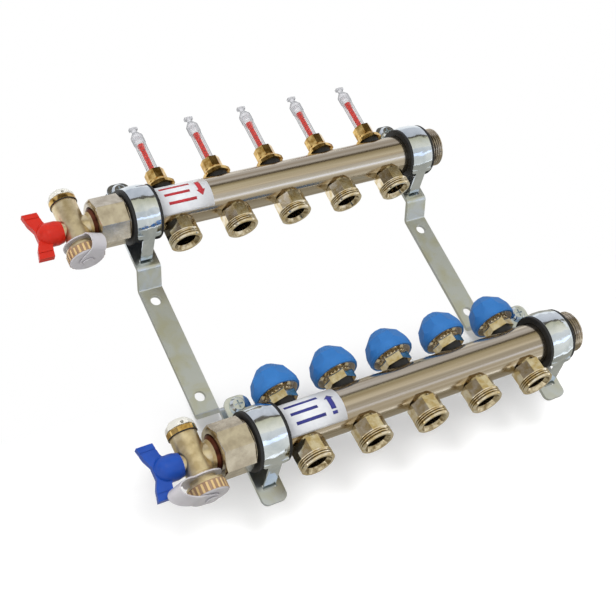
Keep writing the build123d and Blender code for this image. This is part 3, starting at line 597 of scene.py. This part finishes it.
# x in metres and turns in degrees; an arrow is rows of (degrees past the label's first edge, half width),
# and it shows the way of the flow: out of the supply bar, back into the return bar
shaftHalf, headHalf = 0.002, 0.0038
labels = {
    "supply": {"x": (-0.1165, -0.071), "turn": (30, 142), "ink": redInk, "lengths": (0.026, 0.022, 0.024),
               "arrows": {"arrow": ((30, shaftHalf), (60, shaftHalf), (60.1, headHalf), (78, 0))}},
    "return": {"x": (-0.1165, -0.069), "turn": (24, 135), "ink": blueInk, "lengths": (0.027, 0.022, 0.024),
               "arrows": {"arrow": ((34, 0), (45, headHalf), (45.1, shaftHalf), (75, shaftHalf)),
                          "arrow_tail": ((80, shaftHalf), (88, shaftHalf))}},
}
for bar, label in labels.items():
    low, high = label["x"]
    first, last = label["turn"]
    inkLift = labelMake["inkLiftMm"]
    wrapped(bar, bar + "_label", [(first, low, high), (last, low, high)], labelMake["filmLiftMm"], labelFilm)
    for row, length in enumerate(label["lengths"]):
        top = first + labelMake["firstBar"] + row * labelMake["barStep"]
        start = low + labelMake["barInset"] + labelMake["barShift"] * row
        barRows = [(turn, start, start + length) for turn in (top, top + labelMake["barWide"])]
        wrapped(bar, "%s_label_bar_%d" % (bar, row + 1), barRows, inkLift, label["ink"])
    shaft = high - labelMake["arrowInset"]
    for kind, outline in label["arrows"].items():
        arrowRows = [(first + turn, shaft - half, shaft + half) for turn, half in outline]
        wrapped(bar, "%s_label_%s" % (bar, kind), arrowRows, inkLift, label["ink"])
print("labels done")

# Camera at the photograph's place
photo = {"lensMm": 68.25, "sensorMm": 36.0, "placeMm": (-455.4, -792.5, -330.6),
         "turnDegrees": (112.374, 25.433, -19.392), "clip": (0.05, 20.0)}
cameraData = bpy.data.cameras.new("photo camera")
cameraData.lens = photo["lensMm"]
cameraData.sensor_width = photo["sensorMm"]
cameraData.clip_start, cameraData.clip_end = photo["clip"]
camera = bpy.data.objects.new("photo camera", cameraData)
camera.location = Vector(photo["placeMm"]) * mm
camera.rotation_euler = [radians(turn) for turn in photo["turnDegrees"]]
bpy.context.scene.collection.objects.link(camera)
bpy.context.scene.camera = camera
bpy.context.scene.view_settings.view_transform = "Standard"

# Light: a large soft lamp over the piece, a weaker one from the side, and one in front for the shadow
# on the wall
lamps = {
    "over": {"place": (-0.25, -1.3, 0.75), "size": 1.1, "watts": 3.5, "gloss": True},
    "front": {"place": (-0.1, -1.3, 0.05), "size": 0.45, "watts": 6.5, "gloss": False},
    "side": {"place": (-1.2, -0.7, -0.1), "size": 0.8, "watts": 3.0, "gloss": True},
}
for name, lamp in lamps.items():
    data = bpy.data.lights.new(name, "AREA")
    data.size = lamp["size"]
    data.energy = lamp["watts"]
    light = bpy.data.objects.new(name, data)
    light.location = lamp["place"]
    light.rotation_euler = (-Vector(lamp["place"])).to_track_quat("-Z", "Y").to_euler()
    light.visible_glossy = lamp["gloss"]
    bpy.context.scene.collection.objects.link(light)


def seenByEye(tree):
    # 1 where the eye meets a surface straight on, in a reflection or through something clear
    rays = addNode(tree, "LightPath").outputs
    direct = addNode(tree, "Math", {0: rays["Is Camera Ray"], 1: rays["Is Transmission Ray"]},
                     operation="MAXIMUM")
    seen = addNode(tree, "Math", {0: direct.outputs[0], 1: rays["Is Glossy Ray"]}, operation="MAXIMUM")
    return seen.outputs[0]


# White to the eye, a little less as light
surroundings = {"light": 0.65, "white": 1.0}
world = bpy.data.worlds.new("studio")
bpy.context.scene.world = world
world.use_nodes = True
tree = world.node_tree
level = addNode(tree, "MapRange", {"Value": seenByEye(tree), "To Min": surroundings["light"],
                                   "To Max": surroundings["white"]})
setSockets(tree.nodes["Background"], {"Color": (1, 1, 1, 1), "Strength": level.outputs["Result"]})


def hangSheet(name, rows):
    # a stage piece from rows of two corners
    built = bmesh.new()
    corners = [[built.verts.new(spot) for spot in row] for row in rows]
    for low, high in zip(corners, corners[1:]):
        built.faces.new((low[0], low[1], high[1], high[0]))
    mesh = bpy.data.meshes.new(name)
    built.to_mesh(mesh)
    built.free()
    sheet = bpy.data.objects.new(name, mesh)
    bpy.context.scene.collection.objects.link(sheet)
    return sheet


def blankMaterial(name, sheet):
    material = bpy.data.materials.new(name)
    material.use_nodes = True
    material.node_tree.nodes.clear()
    sheet.data.materials.append(material)
    return material.node_tree


# Studio cards around the piece, which only its gloss shows
def hangCard(name, rows, first, last, strength):
    # the colour runs from first to last up the card
    card = hangSheet(name, rows)
    card.visible_camera = False
    card.visible_diffuse = False
    card.visible_shadow = False
    card.visible_transmission = False
    tree = blankMaterial(name, card)
    place = addNode(tree, "SeparateXYZ", {0: addNode(tree, "TexCoord").outputs["Object"]})
    height = addNode(tree, "MapRange", {"Value": place.outputs["Z"], "From Min": rows[0][0][2],
                                        "From Max": rows[-1][0][2]})
    colour = addNode(tree, "Mix", {0: height.outputs["Result"], 6: linear(first), 7: linear(last)},
                     data_type="RGBA")
    glow = addNode(tree, "Emission", {"Color": colour.outputs[2], "Strength": strength})
    addNode(tree, "OutputMaterial", {"Surface": glow.outputs[0]})


# Curved cards: name, turns about X from which to which (0 in front, 90 overhead), colours and strength
curvedCards = [
    ("light card", 100, 42, "#dcdce0", "#cfced2", 1.0),
    ("dark flag", 42, 31, "#6a6358", "#5a5348", 1.0),
    ("olive card", 31, -14, "#c4bea2", "#f2ede0", 1.05),
    ("pale card", -14, -38, "#e2e2e0", "#dcdcda", 1.0),
    ("window strip", -38, -47, "#e0e9ff", "#e0e9ff", 1.7),
    ("floor card", -47, -89, "#e6e4de", "#dedcd4", 1.1),
]
cardDistance, cardHalfWidth, cardSteps = 1.0, 1.6, 16
for name, fromTurn, toTurn, first, last, strength in curvedCards:
    rows = []
    for j in range(cardSteps + 1):
        turn = radians(fromTurn + (toTurn - fromTurn) * j / cardSteps)
        rows.append([(x, -cardDistance * cos(turn), cardDistance * sin(turn))
                     for x in (-cardHalfWidth, cardHalfWidth)])
    hangCard(name, rows, first, last, strength)

# Flat cards: name, lower and upper edge by their two ends, colours and strength
flatCards = [
    ("wall card", [(-0.5, 0.001, -0.5), (0.6, 0.001, -0.5)], [(-0.5, 0.001, 0.09), (0.6, 0.001, 0.09)],
     "#a9a597", "#b4b0a4", 1.0),
    ("left flag", [(-0.8, -1.1, -0.5), (-0.8, -0.05, -0.5)], [(-0.8, -1.1, 0.5), (-0.8, -0.05, 0.5)],
     "#f4f2ee", "#5a5046", 1.0),
]
for name, lower, upper, first, last, strength in flatCards:
    hangCard(name, [lower, upper], first, last, strength)

# Pale backdrop on the wall plane, seen only from the front. It is white above fadeFrom and keeps the
# shadow below fadeTo, where a faint glow, stronger downwards and at both ends, lifts the paper to white
backdrop = {"x": (-1.3, 1.3), "z": (-1.1, 0.9), "y": 0.002, "paper": "#e8e8e8",
            "fadeFrom": -0.03, "fadeTo": -0.075,
            "liftFrom": -0.095, "liftTo": -0.165, "nearLift": 0.02, "farLift": 0.5,
            "endFrom": 0.15, "endTo": 0.21, "endLift": 0.15}
edges = [[(x, backdrop["y"], z) for x in backdrop["x"]] for z in backdrop["z"]]
floor = hangSheet("backdrop", edges)
tree = blankMaterial("pale paper backdrop", floor)
paper = addNode(tree, "BsdfDiffuse", {"Color": linear(backdrop["paper"])})
glow = addNode(tree, "Emission", {"Color": (1, 1, 1, 1), "Strength": 1.0})
place = addNode(tree, "SeparateXYZ", {0: addNode(tree, "TexCoord").outputs["Object"]}).outputs
downward = addNode(tree, "MapRange", {"Value": place["Z"],
                                      "From Min": backdrop["liftFrom"], "From Max": backdrop["liftTo"],
                                      "To Min": backdrop["nearLift"], "To Max": backdrop["farLift"]})
across = addNode(tree, "Math", {0: place["X"]}, operation="ABSOLUTE")
endwards = addNode(tree, "MapRange", {"Value": across.outputs[0], "From Min": backdrop["endFrom"],
                                      "From Max": backdrop["endTo"], "To Max": backdrop["endLift"]})
together = addNode(tree, "Math", {0: downward.outputs["Result"], 1: endwards.outputs["Result"]},
                   operation="ADD")
lift = addNode(tree, "Emission", {"Color": (1, 1, 1, 1), "Strength": together.outputs[0]})
shaded = addNode(tree, "AddShader", {0: paper.outputs[0], 1: lift.outputs[0]})
fade = addNode(tree, "MapRange", {"Value": place["Z"], "From Min": backdrop["fadeTo"],
                                  "From Max": backdrop["fadeFrom"]}, interpolation_type="SMOOTHSTEP")
toEye = addNode(tree, "MixShader", {0: fade.outputs["Result"], 1: shaded.outputs[0], 2: glow.outputs[0]})
front = addNode(tree, "MixShader", {0: seenByEye(tree), 1: paper.outputs[0], 2: toEye.outputs[0]})
clear = addNode(tree, "BsdfTransparent")
side = addNode(tree, "NewGeometry").outputs["Backfacing"]
oneSided = addNode(tree, "MixShader", {0: side, 1: front.outputs[0], 2: clear.outputs[0]})
addNode(tree, "OutputMaterial", {"Surface": oneSided.outputs[0]})
print("stage done")
